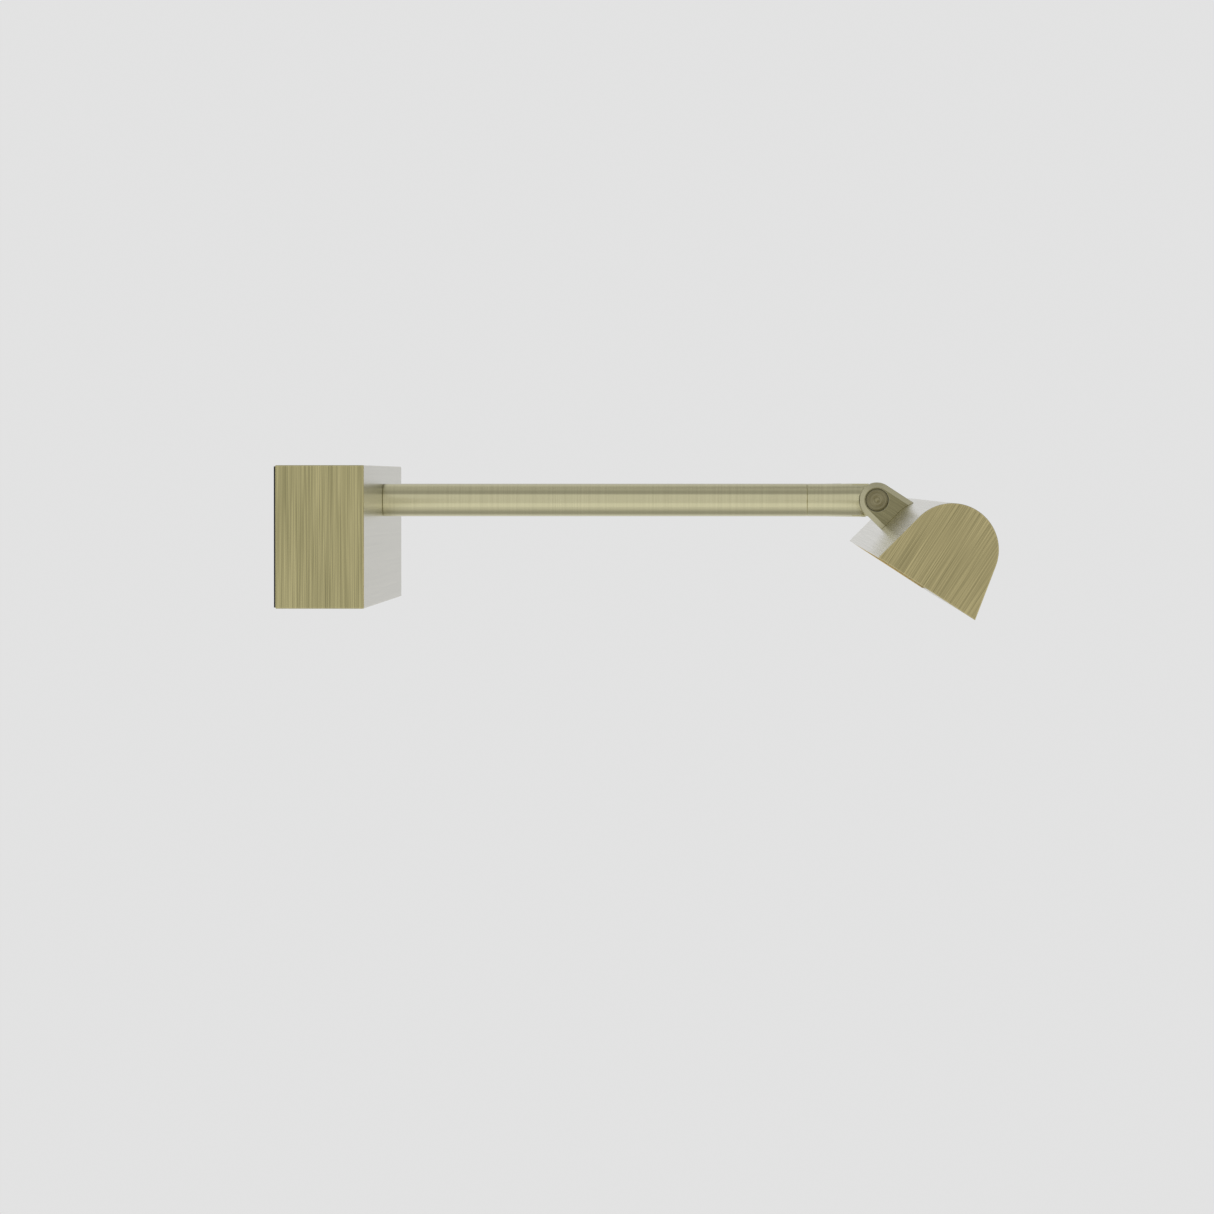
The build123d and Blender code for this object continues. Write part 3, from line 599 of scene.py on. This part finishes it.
def makeTube():
    edge = arm["edge"]
    profile = [(arm["bore"], seam), (arm["radius"] - edge, seam), (arm["radius"], seam + edge),
               (arm["radius"], root - edge), (arm["radius"] - edge, root), (arm["bore"], root)]
    tube = asObject("armTube", lathe(profile, 160), armPlace)
    return finishPiece(tube, fixedBody, brassTube, "brushed_brass", "arm_tube", sharp=50, brush=alongArm)


def makeTip():
    big, edge = arm["tipRadius"], arm["edge"]
    swellStart, swellEnd = seam - arm["tipSwellStart"], seam - arm["tipSwellEnd"]
    profile = [(0, seam), (arm["radius"] - edge, seam), (arm["radius"], seam - edge),
               (arm["radius"], swellStart), (big, swellEnd), (big, 0), (0, 0)]
    tip = asObject("armTip", lathe(profile), armPlace)
    # the hollow shoulder clears the fork's round end, and its lower side where the tilt ends
    reach, clear = arm["cheekRadius"] + arm["shoulderGap"], arm["clearance"]
    angle = arm["lowestTilt"] + head["taper"] - 90
    swept = arc((0, 0), reach, 180, angle, 160)
    touch = swept[-1]
    away = (touch[0] + clear * math.sin(angle * degrees), touch[1] - clear * math.cos(angle * degrees))
    swept += [away, (-clear, away[1]), (-clear, 0)]
    carve(tip, asObject("swept", slab(swept, arm["cutterWidth"]), Matrix.Translation(pivot)))
    radius, back = arm["tongueRadius"], arm["tongueBack"]
    outline = arc((0, 0), radius, 90, 270, 48) + [(back, -radius), (back, radius)]
    tongue = asObject("tongue", slab(outline, arm["tongueWidth"]), Matrix.Translation(pivot))
    carve(tip, tongue, "UNION")
    groove = asObject("groove", block(arm["grooveSize"]), Matrix.Translation(pivot + arm["groovePlace"]))
    carve(tip, groove)
    return finishPiece(tip, fixedBody, brassTube, "turned_brass", "arm_knuckle", brush=alongArm)


makeTube()
makeTip()
print("arm ready")


headCentre = (-head["forward"], -head["lower"])
rim = -head["drop"]  # height of the open rim from the round top's centre


# a point on the straight side, inset from the outside, at a height from the round top's centre
def sidePoint(inset, height, side=1):
    taper = head["taper"] * degrees
    half = (head["radius"] - inset - height * math.sin(taper)) / math.cos(taper)
    return (headCentre[0] + side * half, headCentre[1] + height)


def roundTop(inset):
    return arc(headCentre, head["radius"] - inset, head["taper"], 180 - head["taper"], 96)


# the head's outside, from the rim near the wall over the top to the other rim
def headOutline():
    return [sidePoint(0, rim)] + roundTop(0) + [sidePoint(0, rim, -1)]


# the inside of one wall: from the rim, round the lip that holds the diffuser, to the wall above it
def lipOutline(side):
    wall, lip = head["wall"], head["wall"] + head["lipWidth"]
    low, high = rim + head["lipBottom"], rim + head["lipTop"]
    corners = ((wall, rim), (wall, low), (lip, low), (lip, high), (wall, high))
    return [sidePoint(inset, height, side) for inset, height in corners]


def makeHousing():
    outline = headOutline() + lipOutline(-1) + roundTop(head["wall"])[::-1] + lipOutline(1)[::-1]
    bm = slab(outline, housingHigh.x - housingLow.x)

    def lengthways(edge):
        return abs(edge.verts[0].co.x - edge.verts[1].co.x) > mm

    softenEdges(bm, head["edge"], only=lengthways)
    housing = asObject("headHousing", bm, headPlace)
    return finishPiece(housing, headBody, brassHead, "brushed_brass", "head_housing", brush=alongHead)


def makeEndCap(name, node, side):
    thickness = capHigh.x - housingHigh.x
    bm = slab(headOutline(), thickness)

    def outer(edge):
        return all(abs(v.co.x - side * thickness / 2) < hair for v in edge.verts)

    softenEdges(bm, head["capEdge"], 3, only=outer)
    place = headPlace @ Matrix.Translation((side * (capHigh.x + housingHigh.x) / 2, 0, 0))
    return finishPiece(asObject(name, bm, place), headBody, brassCap, "brushed_brass", node, brush=upOnCaps)


makeHousing()
makeEndCap("endCapRight", "end_cap_right", 1)
makeEndCap("endCapLeft", "end_cap_left", -1)
print("lamp head ready")


fork = {
    "width": 13.0 * mm,
    "chamfer": 1.8 * mm,  # across the cheek
    "chamferDepth": 0.75 * mm,
    "reach": 17.0 * mm,
    "slot": 6.1 * mm,
    "slotFloor": 6.75 * mm,
    "slotReach": 20.0 * mm,  # clear of the fork on all its open sides
    "cutterWidth": 60 * mm,
    "capBore": 4.25 * mm,
    "capThickness": 1.6 * mm,
    "capRadius": 4.0 * mm,
    "capSoft": 0.22 * mm,
    "capSunk": 0.03 * mm,
    # radius and height of the cap's centre pip and shallow rings
    "capRings": ((0, 0.030), (0.30, 0.030), (0.55, -0.050), (1.35, -0.020), (1.60, 0.020), (1.95, 0.020),
                 (2.20, -0.025), (2.90, -0.035), (3.15, 0)),
    "screwSoft": 0.25 * mm,
    "socket": 2.9 * mm,
    "socketDepth": 2.4 * mm,  # half of it in the screw
    "edge": 0.10 * mm,
}


# on one cheek of the fork, with +Z outwards
def cheekPlace(side, sunk=0.0):
    return (headPlace @ Matrix.Translation((side * (fork["width"] / 2 - sunk), 0, 0))
            @ Matrix.Rotation(side * 90 * degrees, 4, "Y"))


def makeFork():
    radius, taper, far = arm["cheekRadius"], head["taper"], fork["reach"]
    lower = (radius * math.sin(taper * degrees), -radius * math.cos(taper * degrees))
    drop = lower[1] - (far + lower[0]) * math.tan(taper * degrees)
    outline = arc((0, 0), radius, taper - 90, 90, 96) + [(-far, radius), (-far, drop)]
    bm = slab(outline, fork["width"] - 2 * fork["chamferDepth"])
    for side in (-1, 1):
        cheek = max(bm.faces, key=lambda f: side * f.calc_center_median().x)
        bmesh.ops.inset_region(bm, faces=[cheek], thickness=fork["chamfer"], use_even_offset=True)
        bmesh.ops.translate(bm, vec=(side * fork["chamferDepth"], 0, 0), verts=cheek.verts)
    piece = asObject("headFork", bm, headPlace)
    carve(piece, asObject("shell", slab(headOutline(), fork["cutterWidth"]), headPlace))
    clear, back = fork["slotReach"], -arm["tongueRadius"]
    floor = [point for point in arc((0, 0), fork["slotFloor"], 90, 270, 64) if point[0] < back]
    slot = [(clear, clear), (back, clear)] + floor + [(back, -clear), (clear, -clear)]
    carve(piece, asObject("slot", slab(slot, fork["slot"]), headPlace))
    for side in (-1, 1):
        seat = rod(fork["capBore"], fork["capBore"], fork["capThickness"] * 2, 96)
        carve(piece, asObject("seat", seat, cheekPlace(side)))
    return finishPiece(piece, headBody, brassFork, "brushed_brass", "head_yoke", sharp=15,
                       rounding=fork["edge"], brush=alongFork)


# a disc on the pivot: its face, then a rim rounded by soft, the side and the back
def pivotDisc(face, soft):
    radius, thickness, corner = fork["capRadius"], fork["capThickness"], soft * 0.3
    rimPoints = [(radius - soft, 0), (radius - corner, -corner), (radius, -soft)]
    return lathe(face + rimPoints + [(radius, -thickness), (0, -thickness)])


def makePivotCap():
    face = [(radius * mm, height * mm) for radius, height in fork["capRings"]]
    piece = asObject("pivotCap", pivotDisc(face, fork["capSoft"]), cheekPlace(-1, fork["capSunk"]))
    return finishPiece(piece, headBody, brassTurned, "turned_brass", "pivot_barrel", brush=fromPivot)


def makePivotScrew():
    piece = asObject("pivotScrew", pivotDisc([(0, 0)], fork["screwSoft"]), cheekPlace(1))
    socket = rod(fork["socket"] / 2, fork["socket"] / 2, fork["socketDepth"], 6)
    carve(piece, asObject("socket", socket, cheekPlace(1)))
    return finishPiece(piece, headBody, brassTurned, "turned_brass", "pivot_screw", brush=fromPivot)


makeFork()
makePivotCap()
makePivotScrew()
print("fork and pivot ready")


stage = {
    "floorHeight": -1.6,
    "floorSize": 60.0,
    "middle": (0.3, -0.12, 0),  # below the light, the centre of the painted shadow, where the floor is darkest
    "fade": (0.15, 1.40),  # metres from there, as the painted shadow fades and the floor turns into the backdrop's own tone
    "backdrop": (0.765, 0.765, 0.765),
    # brightness at each angle above the horizon, from the lens's side over to the far side
    "sky": ((0, 1.0), (37, 1.0), (46, 0.56), (62, 0.55), (81, 0.70), (100, 0.78), (126, 0.92), (150, 0.82),
            (169, 0.82), (173, 1.0)),
    # and at each angle round it: 0 is straight away from the lens, and -90 straight out from the wall
    "round": ((-90, 1.0), (-60, 0.42), (-9, 0.42), (-5.3, 1.0)),
}


def makeFloor():
    bm = bmesh.new()
    bmesh.ops.create_grid(bm, x_segments=1, y_segments=1, size=stage["floorSize"] / 2)
    floor = asObject("floor", bm, Matrix.Translation((0, 0, stage["floorHeight"])))
    mat, tree, shader = newMaterial("paleFloorPaintedShadow")
    setShader(shader, color=(0.80, 0.80, 0.80), roughness=0.9, specular=0.1)
    # painted shadow: near the middle the floor is plainly lit, further out it glows in the backdrop's tone,
    # so a soft dark patch is painted below the object
    far = remap(tree, distanceFrom(tree, stage["middle"], (1, 1, 0)), 0.0, 1.0, *stage["fade"])
    far.node.interpolation_type = "SMOOTHSTEP"
    glow = tree.nodes.new("ShaderNodeEmission")
    glow.inputs["Color"].default_value = (*stage["backdrop"], 1)
    mix = tree.nodes.new("ShaderNodeMixShader")
    tree.links.new(far, mix.inputs[0])
    tree.links.new(shader.outputs[0], mix.inputs[1])
    tree.links.new(glow.outputs[0], mix.inputs[2])
    tree.links.new(mix.outputs[0], tree.nodes["Material Output"].inputs["Surface"])
    floor.data.materials.append(mat)


# brightness from (angle in degrees, value) stops, for an angle that runs from low to high
def ramp(tree, angle, stops, low, high):
    node = tree.nodes.new("ShaderNodeValToRGB")
    node.color_ramp.interpolation = "EASE"
    marks = node.color_ramp.elements
    while len(marks) < len(stops):
        marks.new(1.0)
    for mark, (place, value) in zip(marks, stops):
        mark.position = (place - low) / (high - low)
        mark.color = (value, value, value, 1)
    tree.links.new(remap(tree, angle, 0.0, 1.0, low * degrees, high * degrees), node.inputs["Fac"])
    return node.outputs["Color"]


def makeWorld():
    world = bpy.data.worlds.new("softStudio")
    bpy.context.scene.world = world
    world.use_nodes = True
    tree = world.node_tree
    coords = tree.nodes.new("ShaderNodeTexCoord")
    split = tree.nodes.new("ShaderNodeSeparateXYZ")
    tree.links.new(coords.outputs["Generated"], split.inputs[0])
    towardLens = maths(tree, "MULTIPLY", split.outputs[0], -1.0)
    height = maths(tree, "ARCTAN2", split.outputs[2], towardLens)
    turn = maths(tree, "ARCTAN2", split.outputs[1], split.outputs[0])
    above = ramp(tree, height, stage["sky"], 0, 180)
    around = ramp(tree, turn, stage["round"], -90, 0)
    shader = tree.nodes["Background"]
    shader.inputs["Color"].default_value = (*stage["backdrop"], 1)
    tree.links.new(maths(tree, "MULTIPLY", above, around), shader.inputs["Strength"])


lamp = {
    "place": (-1.6, -0.4, -1.2),
    "target": (0, -0.12, 0),
    "size": (2.4, 1.0),
    "power": 1.2,
}


# a weak light on the ends, from below the lens
def makeLamp():
    data = bpy.data.lights.new("cameraSoft", "AREA")
    data.shape = "RECTANGLE"
    data.size, data.size_y = lamp["size"]
    data.energy = lamp["power"]
    light = bpy.data.objects.new("cameraSoft", data)
    light.location = lamp["place"]
    aim = Vector(lamp["target"]) - Vector(lamp["place"])
    light.rotation_euler = aim.to_track_quat("-Z", "Y").to_euler()
    light.visible_camera = False
    bpy.context.scene.collection.objects.link(light)


shot = {
    "place": (-2.054, -0.1641, 0.01975),
    "lens": 166.1,
    "sensor": 36,
    "pan": 1.4117,  # degrees from straight along the head
    "tilt": -1.2963,
    "nearest": 0.05,
    "farthest": 200,
}


def makeCamera():
    data = bpy.data.cameras.new("camera")
    data.lens, data.sensor_width = shot["lens"], shot["sensor"]
    data.clip_start, data.clip_end = shot["nearest"], shot["farthest"]
    camera = bpy.data.objects.new("camera", data)
    camera.location = shot["place"]
    camera.rotation_euler = ((90 + shot["tilt"]) * degrees, 0, (shot["pan"] - 90) * degrees)
    bpy.context.scene.collection.objects.link(camera)
    bpy.context.scene.camera = camera


makeFloor()
makeWorld()
makeLamp()
makeCamera()
bpy.context.scene.view_settings.view_transform = "Standard"
print("stage ready")
